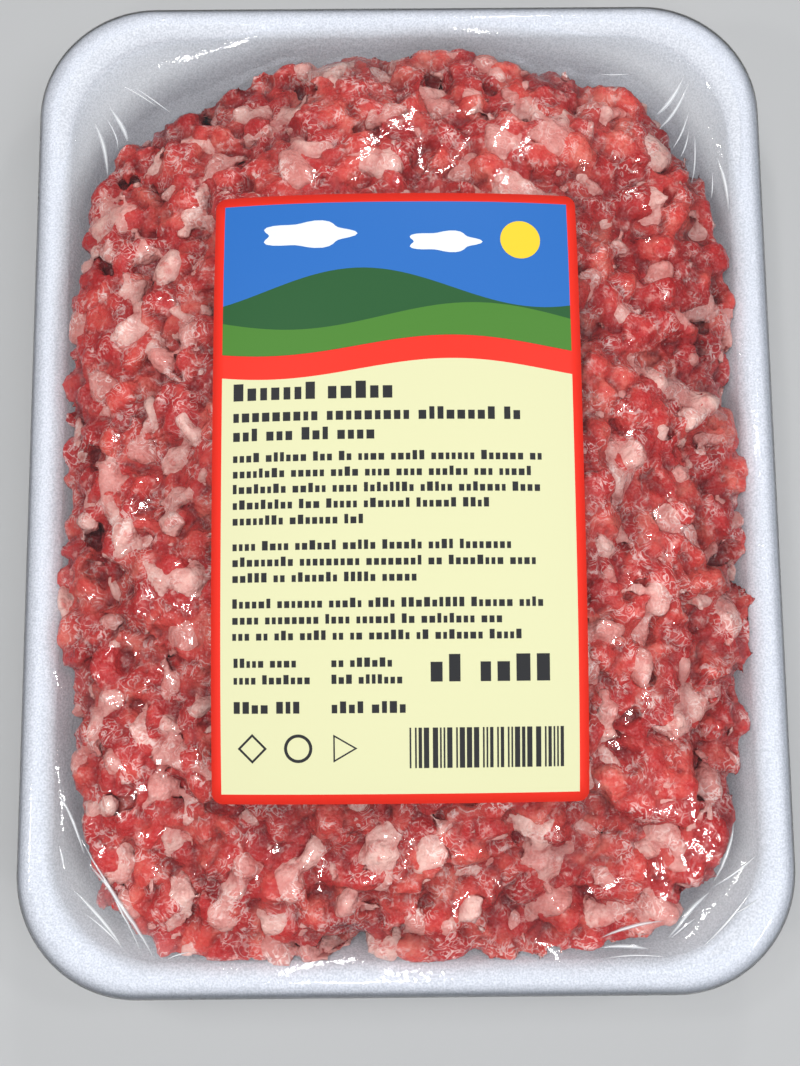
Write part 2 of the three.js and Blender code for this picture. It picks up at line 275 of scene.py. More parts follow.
def rounded_rectangle(half_x, half_y, radius, corner, side_x, side_y, share=1):
    """Points of a rounded rectangle, counter-clockwise, with its straight sides split."""
    half_x, half_y, radius = half_x * share, half_y * share, radius * share
    arcs = []
    for quarter, (sx, sy) in enumerate(((1, 1), (-1, 1), (-1, -1), (1, -1))):
        angle = (quarter + np.linspace(0, 1, corner + 1)) * math.pi / 2
        x = sx * (half_x - radius) + radius * np.cos(angle)
        y = sy * (half_y - radius) + radius * np.sin(angle)
        arcs.append(np.stack([x, y], 1))
    ring = []
    for quarter, splits in enumerate((side_x, side_y, side_x, side_y)):
        start, end = arcs[quarter][-1], arcs[(quarter + 1) % 4][0]
        shares = np.arange(1, splits)[:, None] / splits
        ring += [arcs[quarter], start + (end - start) * shares]
    return np.concatenate(ring)


def inset_ring(inset, z, **facets):
    """A level ring of the tray or its wrapping, at an inset from the rim's outer edge."""
    radius = RIM_CORNER_RADIUS - CORNER_TAPER * inset
    outline = rounded_rectangle(TRAY_WIDTH / 2 - inset, TRAY_LENGTH / 2 - inset, radius, **facets)
    return np.column_stack([outline, np.full(len(outline), z)])


def loft(rings, start=None, end=None):
    """Points and faces of a surface through rings, closed by fans to the end points given."""
    count, faces = len(rings[0]), []
    for level in range(len(rings) - 1):
        for i in range(count):
            j = (i + 1) % count
            low, high = level * count, (level + 1) * count
            faces.append((low + i, low + j, high + j, high + i))
    points = list(np.concatenate(rings))
    last = (len(rings) - 1) * count
    if start is not None:
        points.append(start)
        faces += [((i + 1) % count, i, len(points) - 1) for i in range(count)]
    if end is not None:
        points.append(end)
        faces += [(last + i, last + (i + 1) % count, len(points) - 1) for i in range(count)]
    return np.array(points), faces


def read_mesh(piece):
    """Points, triangles and point normals of an object with its modifiers, in millimetres."""
    evaluated = piece.evaluated_get(bpy.context.evaluated_depsgraph_get())
    mesh = evaluated.to_mesh()
    mesh.calc_loop_triangles()
    points, normals = np.empty((2, len(mesh.vertices) * 3))
    triangles = np.empty(len(mesh.loop_triangles) * 3, int)
    mesh.vertices.foreach_get("co", points)
    mesh.vertex_normals.foreach_get("vector", normals)
    mesh.loop_triangles.foreach_get("vertices", triangles)
    evaluated.to_mesh_clear()
    return points.reshape(-1, 3) / MM, triangles.reshape(-1, 3), normals.reshape(-1, 3)


def fused(points, faces, voxel):
    """Overlapping closed shapes fused into one even skin."""
    piece = mesh_object("to_fuse", points, faces, bpy.data.materials.new("unused"))
    remesh = piece.modifiers.new("fuse", "REMESH")
    remesh.mode = "VOXEL"
    remesh.voxel_size = voxel * MM
    smooth = piece.modifiers.new("smooth", "SMOOTH")
    smooth.factor = 0.5
    smooth.iterations = 1
    result = read_mesh(piece)
    bpy.data.objects.remove(piece)
    return result


def coarsened(points, faces, hidden, cell):
    """The same skin with its hidden points drawn together, cell by cell."""
    keys = np.floor(points[hidden] / cell).astype(int)
    _, group = np.unique(keys, axis=0, return_inverse=True)
    group = group.ravel()
    counts = np.bincount(group)
    centres = [np.bincount(group, points[hidden][:, axis]) / counts for axis in range(3)]
    shown = np.flatnonzero(~hidden)
    number = np.empty(len(points), int)
    number[shown] = np.arange(len(shown))
    number[hidden] = len(shown) + group
    faces = number[faces]
    a, b, c = faces.T
    faces = faces[(a != b) & (b != c) & (c != a)]
    _, first = np.unique(np.sort(faces, axis=1), axis=0, return_index=True)
    return np.concatenate([points[shown], np.stack(centres, 1)]), faces[np.sort(first)]


# Surfaces that the pieces share


def film_height(x, y):
    """Height of the film's inner face over the tray: level on the rim, domed over the mince."""
    across = np.maximum(0, 1 - np.abs(x / CREST_HALF_WIDTH) ** DOME_POWER_X)
    along = np.maximum(0, 1 - np.abs(y / CREST_HALF_LENGTH) ** DOME_POWER_Y)
    bulge = np.maximum(0, across * along - DOME_CUTOFF) / (1 - DOME_CUTOFF)
    return RIM_TOP + GAP + DOME_RISE * bulge * (1 + DOME_SKEW * y / CREST_HALF_LENGTH)


def mound_radius(x, y):
    """How far out a point lies on the mound: 0 at its middle, 1 on its outline."""
    across = np.abs(x / MOUND_HALF_WIDTH) ** MOUND_SQUARENESS
    along = np.abs((y - MOUND_CENTRE_Y) / MOUND_HALF_LENGTH) ** MOUND_SQUARENESS
    return (across + along) ** (1 / MOUND_SQUARENESS)


def mound_top(x, y):
    """Height of the highest lumps: under the film, swelling a little at the tray's lip."""
    out = np.minimum(SHOULDER_EDGE, mound_radius(x, y))
    full = film_height(x, y) - GAP - TRAY_FLOOR
    return TRAY_FLOOR + full * np.sqrt(1 - out**MOUND_SHOULDER) + EDGE_BULGE * out**BULGE_POWER


def mound_points(share, turns):
    """Points of the mound's outline, shrunk towards its middle by a share."""
    angle = turns * 2 * math.pi
    cos, sin = np.cos(angle), np.sin(angle)
    power = 2 / MOUND_SQUARENESS
    x = share * MOUND_HALF_WIDTH * np.sign(cos) * np.abs(cos) ** power
    y = share * MOUND_HALF_LENGTH * np.sign(sin) * np.abs(sin) ** power + MOUND_CENTRE_Y
    return np.stack([x, y], 1)


def under_label(x, y, margin=0):
    """Marks the points under the label that are a margin away from its edge."""
    across = np.abs(x - LABEL_X) < LABEL_WIDTH / 2 - margin
    return across & (np.abs(y - LABEL_Y) < LABEL_LENGTH / 2 - margin)


def lip_point(turn, offset):
    """The lip's rounded top in section, as (inset, z), grown by an offset."""
    angle = turn * math.pi
    inset = CREST_INSET + (CREST_INSET + offset) * math.cos(angle)
    return inset, RIM_TOP - LIP_DROP + (LIP_DROP + offset) * math.sin(angle)


def lip_edge(offset):
    """The lip's lower outer edge in section."""
    return LIP_WIDTH / 12 - offset, LIP_UNDERSIDE + LIP_THICKNESS / 5 - offset


def foot_round(inset, height, radius, steps=8):
    """The round at the foot of a sloping wall in section, down to a level height."""
    angles = np.linspace(1 / 3, 1, steps) * math.pi / 2
    return [(inset + radius * (1 - math.cos(a)), height + radius * (1 - math.sin(a))) for a in angles]


def wall_inset(z):
    """Inset of the tray's inner wall at a height."""
    foot = foot_round(WALL_FOOT, TRAY_FLOOR, FLOOR_ROUNDING)
    lip = [lip_point(turn, 0) for turn in (LIP_END, 0.34, 0.5)]
    insets, heights = np.array(foot[::-1] + lip).T
    return np.interp(z, heights, insets)


# Materials


class Look:
    """A material whose nodes are joined up as they are made."""

    def __init__(self, name):
        self.material = bpy.data.materials.new(name)
        self.material.use_nodes = True
        self.tree = self.material.node_tree
        self.tree.nodes.clear()
        self.place = self.node("TexCoord").outputs["Object"]

    def fill(self, socket, value):
        """Gives a socket a number, a colour or another node's output."""
        if isinstance(value, bpy.types.NodeSocket):
            self.tree.links.new(value, socket)
        elif socket.type == "RGBA":
            socket.default_value = (*value, 1)
        else:
            socket.default_value = value

    def node(self, kind, **inputs):
        node = self.tree.nodes.new("ShaderNode" + kind)
        for name, value in inputs.items():
            self.fill(node.inputs[name.replace("_", " ")], value)
        return node

    def noise(self, scale, detail, roughness=0.5, distortion=0.0):
        inputs = {"Scale": scale, "Detail": detail, "Roughness": roughness, "Distortion": distortion}
        return self.node("TexNoise", Vector=self.place, **inputs).outputs[0]

    def attribute(self, name):
        """A number stored on the piece's points."""
        node = self.node("Attribute")
        node.attribute_name = name
        return node.outputs["Fac"]

    def filled(self, node, values):
        """The output of a node once its first inputs are filled in order."""
        for socket, value in zip(node.inputs, values):
            self.fill(socket, value)
        return node.outputs[0]

    def maths(self, operation, *values):
        node = self.node("Math")
        node.operation = operation
        return self.filled(node, values)

    def rise(self, value, start, end, low=0.0, high=1.0):
        """Goes from low to high while the value goes from start to end."""
        inputs = {"From_Min": start, "From_Max": end, "To_Min": low, "To_Max": high}
        return self.node("MapRange", Value=value, **inputs).outputs[0]

    def ramp(self, value, stops):
        """A colour that follows a value, by stops of a place and a colour."""
        node = self.node("ValToRGB", Fac=value)
        elements = node.color_ramp.elements
        while len(elements) < len(stops):
            elements.new(0.5)
        for element, (place, colour) in zip(elements, stops):
            element.position = place
            element.color = (*colour, 1)
        return node.outputs[0]

    def blend(self, share, colour, other):
        """A colour that turns into another one by a share."""
        node = self.node("Mix")
        node.data_type = "RGBA"
        for number, value in ((0, share), (6, colour), (7, other)):
            self.fill(node.inputs[number], value)
        return node.outputs[2]

    def bump(self, height, strength, distance):
        """Normals over relief whose depth is in metres."""
        return self.node("Bump", Height=height, Strength=strength, Distance=distance).outputs[0]

    def mixed(self, share, shader, other):
        return self.filled(self.node("MixShader"), (share, shader, other))

    def finished(self, shader):
        self.fill(self.node("OutputMaterial").inputs["Surface"], shader)
        return self.material


def plain_material(name, colour, roughness):
    """An even material."""
    look = Look(name)
    return look.finished(look.node("BsdfPrincipled", Base_Color=colour, Roughness=roughness).outputs[0])


def foam_material():
    """White expanded foam with a fine grain of beads."""
    look = Look("foam")
    grain = look.noise(scale=3000, detail=2, roughness=0.6)
    beads = look.node("TexVoronoi", Vector=look.place, Scale=1500).outputs["Distance"]
    shader = look.node(
        "BsdfPrincipled",
        Base_Color=look.ramp(grain, FOAM_TINTS),
        Roughness=0.42,
        Specular_IOR_Level=0.6,
        Normal=look.bump(look.maths("ADD", grain, beads), strength=0.25, distance=0.0002),
    )
    return look.finished(shader.outputs[0])


def mince_material(name, tints, flecks, strands_and_glints, hollow):
    """Wet meat or fat: a tint for each lump, flecks, curly strands with painted glints, and painted
    shade in crevices.
    """
    look = Look(name)
    mottle = look.noise(scale=330, detail=4, roughness=0.65)
    fleck = look.noise(scale=480, detail=3, roughness=0.6)
    fine = look.noise(scale=1100, detail=1)
    bends = look.noise(scale=420, detail=2, distortion=1.8)
    patches = look.noise(scale=240, detail=2)
    tone = look.maths("MULTIPLY_ADD", look.attribute("tone"), *TONE_REACH)
    shade = look.maths("MULTIPLY_ADD", look.maths("SUBTRACT", mottle, 0.5), MOTTLE_REACH, tone)
    colour = look.ramp(shade, tints)
    colour = look.blend(look.rise(fleck, *flecks["places"]), colour, flecks["colour"])
    # curly pale strands in patches, partly painted glints
    off_line = look.maths("ABSOLUTE", look.maths("SUBTRACT", bends, 0.5))
    where = look.rise(patches, *strands_and_glints["places"])
    strand_and_glint = look.maths("MULTIPLY", look.rise(off_line, STRAND_AND_GLINT_WIDTH, 0), where)
    colour = look.blend(strand_and_glint, colour, strands_and_glints["colour"])
    # painted shade: darker where the mince lies deep, in crevices and in hollows
    colour = look.blend(look.attribute("crevice"), colour, hollow)
    normal = look.bump(look.maths("ADD", fleck, fine), strength=0.9, distance=0.0005)
    shader = look.node(
        "BsdfPrincipled",
        Base_Color=colour,
        Roughness=look.rise(mottle, 0.35, 0.65, low=0.16, high=0.38),
        Specular_IOR_Level=0.55,
        Coat_Weight=0.4,
        Coat_Roughness=0.1,
        Normal=normal,
        Coat_Normal=normal,
    )
    return look.finished(shader.outputs[0])


def film_material(name, gloss, roughness, fading=False):
    """Clear film with the piece's haze (on the creases a painted highlight), glossier at grazing
    angles, its edges clear if fading.
    """
    look = Look(name)
    clear = look.node("BsdfTransparent", Color=(1, 1, 1)).outputs[0]
    ripples = look.noise(scale=900, detail=1, roughness=0.6)
    normal = look.bump(ripples, strength=0.2, distance=0.0003)
    shine = look.node("BsdfGlossy", Color=(1, 1, 1), Roughness=roughness, Normal=normal).outputs[0]
    milk_and_painted_highlight = look.node("BsdfDiffuse", Color=FILM_WHITE).outputs[0]
    mirrored = look.maths("ADD", look.node("Fresnel", IOR=1.5).outputs[0], gloss)
    wet = look.mixed(mirrored, clear, shine)
    # white haze: milky film, and along the creases a painted highlight
    hazy_and_highlighted = look.mixed(look.attribute("haze"), wet, milk_and_painted_highlight)
    if fading:
        hazy_and_highlighted = look.mixed(look.attribute("fade"), clear, hazy_and_highlighted)
    return look.finished(hazy_and_highlighted)


# Tray

LIP_STEPS = 22
LEVEL_STRIPS = (2, 4)  # ends of the level strips that keep the rounds crisp
TRAY_FACETS = {"corner": 20, "side_x": 6, "side_y": 8}


def foam_tray():
    """The tray, from its underside over the lip to its floor."""
    foot = foot_round(FOOT_INSET, TRAY_BASE, FOOT_ROUNDING)[::-1]
    under_lip = [
        (LIP_WIDTH, LIP_UNDERSIDE - LIP_WIDTH / 4),
        (LIP_WIDTH / 2, LIP_UNDERSIDE),
        lip_edge(0),
    ]
    lip = [lip_point(turn, 0) for turn in np.linspace(1, LIP_END, LIP_STEPS)]
    inside = foot_round(WALL_FOOT, TRAY_FLOOR, FLOOR_ROUNDING)
    underside = [(foot[0][0] + strip, TRAY_BASE) for strip in LEVEL_STRIPS[::-1]]
    floor = [(inside[-1][0] + strip, TRAY_FLOOR) for strip in LEVEL_STRIPS]
    section = [*underside, *foot, *under_lip, *lip, *inside, *floor]
    rings = [inset_ring(inset, z, **TRAY_FACETS) for inset, z in section]
    points, faces = loft(rings, (0, 0, TRAY_BASE), (0, 0, TRAY_FLOOR))
    add_piece("tray", points, faces, foam_material(), "foam_tray", "foam")


# Mince


def top_places(rng, pitch, sink):
    """Staggered places over the mound, for the tops of lumps at chance depths."""
    row_pitch = pitch * math.sqrt(0.75)
    rows = math.ceil(MOUND_HALF_LENGTH / row_pitch)
    columns = math.ceil(MOUND_HALF_WIDTH / pitch)
    grid = np.meshgrid(np.arange(-rows, rows + 1), np.arange(-columns, columns + 1))
    row, column = [numbers.ravel() for numbers in grid]
    nudge = rng.uniform(-TOP_NUDGE, TOP_NUDGE, (2, row.size)) * pitch
    x = (column + 0.5 * (row % 2)) * pitch + nudge[0]
    y = row * row_pitch + nudge[1] + MOUND_CENTRE_Y
    inside = mound_radius(x, y) < TOP_REACH
    x, y = x[inside], y[inside]
    return np.stack([x, y, mound_top(x, y) - rng.uniform(*sink, x.size)], 1)


def side_places(rng):
    """Places down the mound's steep side."""
    count = round(SIDE_LENGTH * (MOUND_HALF_WIDTH + MOUND_HALF_LENGTH) / SIDE_PITCH)
    places = []
    for level in SIDE_LEVELS:
        turns = (np.arange(count) + rng.uniform(0, SIDE_NUDGE, count)) / count
        top = level + rng.uniform(-SIDE_STAGGER, SIDE_STAGGER, count)
        places.append(np.column_stack([mound_points(MOUND_EDGE, turns), top]))
    return np.concatenate(places)


def ball_template(level):
    """Points and faces of a ball with a radius of 1."""
    ball = bmesh.new()
    bmesh.ops.create_icosphere(ball, subdivisions=level, radius=1)
    points = np.array([vertex.co for vertex in ball.verts])
    faces = np.array([[vertex.index for vertex in face.verts] for face in ball.faces])
    ball.free()
    return points, faces


def lumps(rng, kind, tops, size, level):
    """Lumps of one kind with their tops at the places given: their skins, and for each
    lump its centre and its tint."""
    count = len(tops)
    spans = [rng.uniform(least, most, count) for least, most in LUMP_SPANS]
    chance = rng.uniform(0, 1, count) ** SIZE_POWER[kind]
    radii = (size[0] + (size[1] - size[0]) * chance)[:, None] * np.stack(spans, 1)
    centres = tops - LUMP_SINK * radii * (0, 0, 1)
    turns = random_turns(rng, count, LUMP_TILT)
    ball, ball_faces = ball_template(level)
    points = np.repeat(ball[None], count, axis=0)
    shifts = rng.uniform(0, DENT_SHIFT, (count, 1, 3))
    dents = noise(points * DENT_FINENESS + shifts, 1, MINCE_SEED)
    points = points * (1 + LUMP_DENTS * dents)[..., None]
    for _ in range(LUMP_FLATS):
        normal = rng.normal(size=(count, 1, 3))
        normal /= np.linalg.norm(normal, axis=-1, keepdims=True)
        reach = rng.uniform(*FLAT_REACH, (count, 1))
        over = np.maximum(0, (points * normal).sum(-1) - reach)
        points = points - over[..., None] * normal
    points = np.einsum("nij,nvj->nvi", turns, points * radii[:, None]) + centres[:, None]
    points = packed_in(kneaded(points, kind), rng.uniform(*LUMP_CLEARANCE, (count, 1)))
    starts = len(ball) * np.arange(count)[:, None, None]
    return {
        "points": points.reshape(-1, 3),
        "faces": (ball_faces[None] + starts).reshape(-1, 3),
        "centre": packed_in(kneaded(centres, kind), 0),
        "tone": rng.uniform(0, 1, count),
        "large": size[1] > SMALL_LUMP,
    }


def kneaded(points, kind):
    """Bends neighbouring lumps together, as if pressed into one another."""
    for number, (width, reach) in enumerate(KNEADING[kind]):
        seed = KNEADING_SEED + 3 * number
        shift = [noise(points, width, seed + axis) for axis in range(3)]
        points = points + reach * np.stack(shift, -1)
    return points


def packed_in(points, clearance):
    """Keeps points inside the tray's walls and under the film."""
    x, y, z = np.moveaxis(points, -1, 0)
    out = mound_radius(x, y)
    spare = MOUND_LIMIT - MOUND_EDGE
    held = MOUND_EDGE + spare * (1 - np.exp(-np.maximum(0, out - MOUND_EDGE) / spare))
    squeeze = np.where(out > MOUND_EDGE, held / np.maximum(out, 0.1), 1)
    x, y = x * squeeze, (y - MOUND_CENTRE_Y) * squeeze + MOUND_CENTRE_Y
    for centre_x, centre_y, reach, depth in OUTLINE_DENTS:
        fall = depth * out**2 * np.exp(-((x - centre_x) ** 2 + (y - centre_y) ** 2) / reach**2)
        away = np.hypot(x, y) + 1
        x, y = x - fall * x / away, y - fall * y / away
    room = wall_inset(z) + GAP
    x = x * np.minimum(1, (TRAY_WIDTH / 2 - room) / MOUND_HALF_WIDTH)
    y = y * np.minimum(1, (TRAY_LENGTH / 2 - room) / (MOUND_HALF_LENGTH - MOUND_CENTRE_Y))
    top = mound_top(x, y) - clearance
    over = np.maximum(0, z - top)
    z = np.where(over > 0, top + TOP_SPARE * (1 - np.exp(-over / TOP_GIVE)), z)
    return np.stack([x, y, np.maximum(z, TRAY_FLOOR + GAP)], -1)


def core_shape():
    """The bulk of the mince under the lumps that show."""
    rings = []
    for share, sink in CORE_RINGS:
        outline = mound_points(share, np.linspace(0, 1, CORE_FACETS, endpoint=False))
        x, y = outline.T
        top = mound_top(x, y)
        z = np.full(len(x), TRAY_FLOOR + 2 * GAP) if sink is None else top - sink
        rings.append(np.column_stack([x, y, z]))
    floor_centre = (0, MOUND_CENTRE_Y, TRAY_FLOOR + 2 * GAP)
    top_centre = (0, MOUND_CENTRE_Y, mound_top(0, MOUND_CENTRE_Y) - CORE_RINGS[-1][1])
    points, faces = loft(rings, floor_centre, top_centre)
    return packed_in(points, 0), faces


def neighbour_mean(values, faces, rounds):
    """Each point's mean of its neighbours' values, taken a few times over."""
    edges = np.concatenate([faces[:, [0, 1]], faces[:, [1, 2]], faces[:, [2, 0]]])
    ends = np.concatenate([edges, edges[:, ::-1]])
    count = np.maximum(1, np.bincount(ends[:, 0], minlength=len(values)))
    for _ in range(rounds):
        values = np.bincount(ends[:, 0], weights=values[ends[:, 1]], minlength=len(values)) / count
    return values


def nearest_lumps(points, centres):
    """Each point's nearest lump, and how much nearer that is than the next."""
    tree = kdtree.KDTree(len(centres))
    for number, centre in enumerate(centres):
        tree.insert(Vector(centre), number)
    tree.balance()
    found = [tree.find_n(Vector(point), 2) for point in points]
    number = np.array([pair[0][1] for pair in found])
    lead = np.array([pair[1][2] - pair[0][2] for pair in found])
    return number, lead


def out_of_sight(points, normals, depth):
    """Marks the points that the label, the tray's floor or other lumps hide."""
    x, y, z = points.T
    at_floor = z < TRAY_FLOOR + HIDDEN_FOOT
    deep = (depth > HIDDEN_DEPTH) & (mound_radius(x, y) < HIDDEN_REACH)
    facing_down = (normals[:, 2] < HIDDEN_SLOPE) & (depth > HIDDEN_OVERHANG)
    return under_label(x, y, HIDDEN_MARGIN) | at_floor | deep | facing_down


def mince_piece(kind, groups, core, material):
    """One kind of the mince, fused into a skin, with relief, tints, crevices and painted shade."""
    starts = np.cumsum([0] + [len(group["points"]) for group in groups])
    points = np.concatenate([group["points"] for group in groups])
    faces = np.concatenate([group["faces"] + start for group, start in zip(groups, starts)]).tolist()
    if core:
        faces += [[corner + len(points) for corner in face] for face in core[1]]
        points = np.concatenate([points, core[0]])
    points, faces, normals = fused(points, faces, VOXELS[kind])
    large = [group for group in groups if group["large"]]
    centres, tones = [np.concatenate([group[key] for group in large]) for key in ("centre", "tone")]
    bend, reach = GROOVE_WOBBLE
    wobble = [noise(points, bend, GROOVE_SEED + axis) for axis in range(3)]
    number, lead = nearest_lumps(points + reach * np.stack(wobble, 1), centres)
    groove = np.exp(-lead / GROOVE_WIDTH)
    relief = sum(
        height * noise(points, width, RELIEF_SEED + order)
        for order, (width, height) in enumerate(LUMP_RELIEF)
    )
    points = points + (relief - GROOVE_DEPTH * groove)[:, None] * normals
    even = np.stack([neighbour_mean(column, faces, HOLLOW_ROUNDS) for column in points.T], 1)
    hollow = ((even - points) * normals).sum(1)
    depth = mound_top(points[:, 0], points[:, 1]) - points[:, 2]
    # painted shade, from depth under the top, crevices between lumps and hollows
    signs = (np.clip(depth / SHADE_DEPTH, 0, 1), groove, np.clip(hollow / SHADE_HOLLOW, 0, 1))
    crevice = sum(share * sign for share, sign in zip(SHADE_SHARES, signs))
    tone = neighbour_mean(tones[number], faces, TONE_ROUNDS)
    hidden = out_of_sight(points, normals, depth)
    points, faces = coarsened(points, faces, hidden, HIDDEN_CELL)
    rest = len(points) - np.count_nonzero(~hidden)
    tone = np.append(tone[~hidden], np.full(rest, 0.5))
    # hidden points take the full painted shade
    crevice = np.append(crevice[~hidden], np.ones(rest))
    add_piece(kind, points, faces, material, "minced_meat", "mince", tone=tone, crevice=crevice)
    return points


def mince():
    """Lean and fat lumps over a core. Returns the points of their skins."""
    rng = np.random.default_rng(MINCE_SEED)
    groups = {LEAN: [], FAT: []}
    for layer in LAYERS:
        tops = top_places(rng, layer["pitch"], layer["sink"])
        group = lumps(rng, layer["kind"], tops, layer["size"], layer["level"])
        groups[layer["kind"]].append(group)
    sides = side_places(rng)
    is_fat = rng.uniform(0, 1, len(sides)) < SIDE_FAT
    for kind, tops in ((LEAN, sides[~is_fat]), (FAT, sides[is_fat])):
        groups[kind].append(lumps(rng, kind, tops, SIDE_SIZES[kind], SIDE_FINENESS))
    skins = [
        mince_piece(LEAN, groups[LEAN], core_shape(), mince_material("lean", **LEAN_LOOK)),
        mince_piece(FAT, groups[FAT], None, mince_material("fat", **FAT_LOOK)),
    ]
    return np.concatenate(skins)


# Film

DRAPE_CELL = 1.0
DRAPE_MARGIN = 3  # how far the grid goes beyond the rim's crest
DRAPE_STEPS = 260
DRAPE_PULL = 0.03  # how far each step draws the film down
FILM_CLEARANCE = 0.12
LABEL_CLEARANCE = 0.1
FILM_FACETS = {"corner": 26, "side_x": 76, "side_y": 110}
FILM_FOLD_INSET = 30
LIP_RINGS = np.linspace(1, 0.56, 12)  # half turns round the lip's top
TOP_RINGS = np.linspace(1, 0.02, 70)  # sizes of the top sheet's rings
# Ripples of the film on the walls
RIPPLE_FOOT = 4
RIPPLE_DEPTH = 0.0012  # as a share of the pack's size
RIPPLE_WIDTH = 5
RIPPLE_STRETCH = (1, 1, 0.4)
FILM_HAZE = 0.004
CORNER_HAZE = 0.24  # more of it where film is bunched, over the corners beside the mince
HAZE_RISE = 0.07  # this starts at the mound's outline and is full at this share beyond it
HAZE_RIM = 0.08  # and fades out towards the rim, from this share of the film's width
# white along the creases, painted as their highlight
CREASE_PAINTED_HIGHLIGHT = 0.9


def draped_heights(mince_points):
    """Heights of film stretched from rim to rim over the lumps, on a grid."""
    half_x, half_y = CREST_HALF_WIDTH + DRAPE_MARGIN, CREST_HALF_LENGTH + DRAPE_MARGIN
    xs = np.arange(-half_x, half_x + DRAPE_CELL, DRAPE_CELL)
    ys = np.arange(-half_y, half_y + DRAPE_CELL, DRAPE_CELL)
    grid_x, grid_y = np.meshgrid(xs, ys, indexing="ij")
    heights = film_height(grid_x, grid_y)
    bumps = np.full(grid_x.shape, -1.0)
    cells = np.round((mince_points[:, :2] - (xs[0], ys[0])) / DRAPE_CELL).astype(int)
    np.maximum.at(bumps, tuple(cells.T), mince_points[:, 2] + FILM_CLEARANCE)
    label_base = heights + LABEL_LIFT - LABEL_PAPER - LABEL_CLEARANCE
    bumps = np.where(under_label(grid_x, grid_y), label_base, bumps)
    corner_x = np.abs(grid_x) - (CREST_HALF_WIDTH - CREST_RADIUS)
    corner_y = np.abs(grid_y) - (CREST_HALF_LENGTH - CREST_RADIUS)
    from_corner = np.hypot(np.maximum(corner_x, 0), np.maximum(corner_y, 0))
    outside = from_corner >= CREST_RADIUS - DRAPE_CELL / 2
    for _ in range(DRAPE_STEPS):
        around = np.pad(heights, 1, mode="edge")
        mean = (around[2:, 1:-1] + around[:-2, 1:-1] + around[1:-1, 2:] + around[1:-1, :-2]) / 4
        heights = np.maximum(mean - DRAPE_PULL, bumps)
        heights[outside] = RIM_TOP + GAP
    return xs, ys, heights


def sampled(drape, x, y):
    """Heights of the draped film at points, between its grid's own."""
    xs, ys, heights = drape
    column = np.clip((x - xs[0]) / DRAPE_CELL, 0, len(xs) - 1.001)
    row = np.clip((y - ys[0]) / DRAPE_CELL, 0, len(ys) - 1.001)
    i, j = column.astype(int), row.astype(int)
    u, v = column - i, row - j
    low = heights[i, j] * (1 - u) + heights[i + 1, j] * u
    high = heights[i, j + 1] * (1 - u) + heights[i + 1, j + 1] * u
    return low * (1 - v) + high * v


def stretch_film(drape, material):
    """The film: a top sheet over mince and rim, then down the walls and under the tray."""
    foot = foot_round(FOOT_INSET - GAP, TRAY_BASE - GAP, FOOT_ROUNDING + GAP)[::-1]
    lip = [lip_point(turn, GAP) for turn in LIP_RINGS]
    underside = [(inset, TRAY_BASE - GAP) for inset in (FILM_HEM_INSET, FILM_FOLD_INSET)]
    section = [*underside, *foot, lip_edge(GAP), *lip]
    rings = [inset_ring(inset, z, **FILM_FACETS) for inset, z in section]
    for ring, (_, z) in zip(rings, section):
        if RIPPLE_FOOT < z < LIP_UNDERSIDE:
            ripple = noise(ring * RIPPLE_STRETCH, RIPPLE_WIDTH, MINCE_SEED)
            ring[:, :2] *= 1 + RIPPLE_DEPTH * ripple[:, None]
    haze = [np.full(len(rings[0]), FILM_HAZE)] * len(rings)
    for share in TOP_RINGS:
        x, y = rounded_rectangle(*CREST, share=share, **FILM_FACETS).T
        z = np.where(share == 1, RIM_TOP + GAP, sampled(drape, x, y))
        rings.append(np.column_stack([x, y, z]))
        beside_mince = np.clip((mound_radius(x, y) - 1) / HAZE_RISE, 0, 1)
        haze.append(FILM_HAZE + CORNER_HAZE * beside_mince * min(1, (1 - share) / HAZE_RIM))
    points, faces = loft(rings, None, (0, 0, sampled(drape, 0, 0)))
    haze = np.append(np.concatenate(haze), FILM_HAZE)
    add_piece("film", points, faces, material, "stretch_film", "film", haze=haze)


# Creases where the film is pulled tight over the corners, from the rim's side to the
# mince: start x and y, end x and y, and width
CREASES = (
    (-57, 68, -52.5, 54, 1.1),
    (-54.5, 71, -49, 60.5, 1.1),
    (-55, 69, -50.5, 58.5, 0.4),
    (-52.5, 75, -44.5, 69.5, 0.4),
    (-50.5, 75, -41.5, 67, 0.4),
    (53.5, 76, 46.5, 65.5, 1.1),
    (54.5, 75, 46.5, 62, 0.8),
    (54, 69, 49, 58.5, 0.5),
    (53.5, 64.5, 50.5, 57, 0.4),
    (54.5, 64, 52, 51.5, 0.5),
    (58, 59.5, 59.5, 47.5, 1.0),
    (57, 56, 56, 49.5, 0.4),
    (43.5, 75.5, 36.5, 74.5, 0.4),
    (-59.5, -54, -54, -65, 0.8),
    (-54, -65, -42, -82.5, 1.0),
    (-55.5, -61, -44, -82.5, 0.6),
    (-57, -70, -47.5, -80.5, 1.0),
    (-55, -74, -47.5, -80.5, 0.5),
    (-59, -63, -58, -67.5, 0.7),
    (-40.5, -82, -36, -80.5, 0.4),
    (60, -65.5, 51.5, -71, 0.6),
    (43.5, -79.5, 51.5, -71.5, 1.2),
    (44, -79.5, 49, -76, 0.5),
    (59, -71, 49, -81.5, 0.6),
    (59.5, -73, 54.5, -76, 0.4),
    (55.5, -60, 51.5, -70.5, 0.9),
    (32, -79, 43, -76, 0.8),
    (32, -80.5, 41, -81, 0.9),
    (32, -82.5, 44.5, -82.5, 0.4),
)
CREASE_STEPS = 14
CREASE_SIDES = (-1, -0.6, -0.25, 0, 0.25, 0.6, 1)
CREASE_BOW = 0.04  # how far it bends aside, as a share of its length
CREASE_TAPER = 0.7
CREASE_LIFT = 0.08
CREASE_HEIGHT = 0.35  # of its ridge, as a share of its width
CREASE_FADE = 0.6


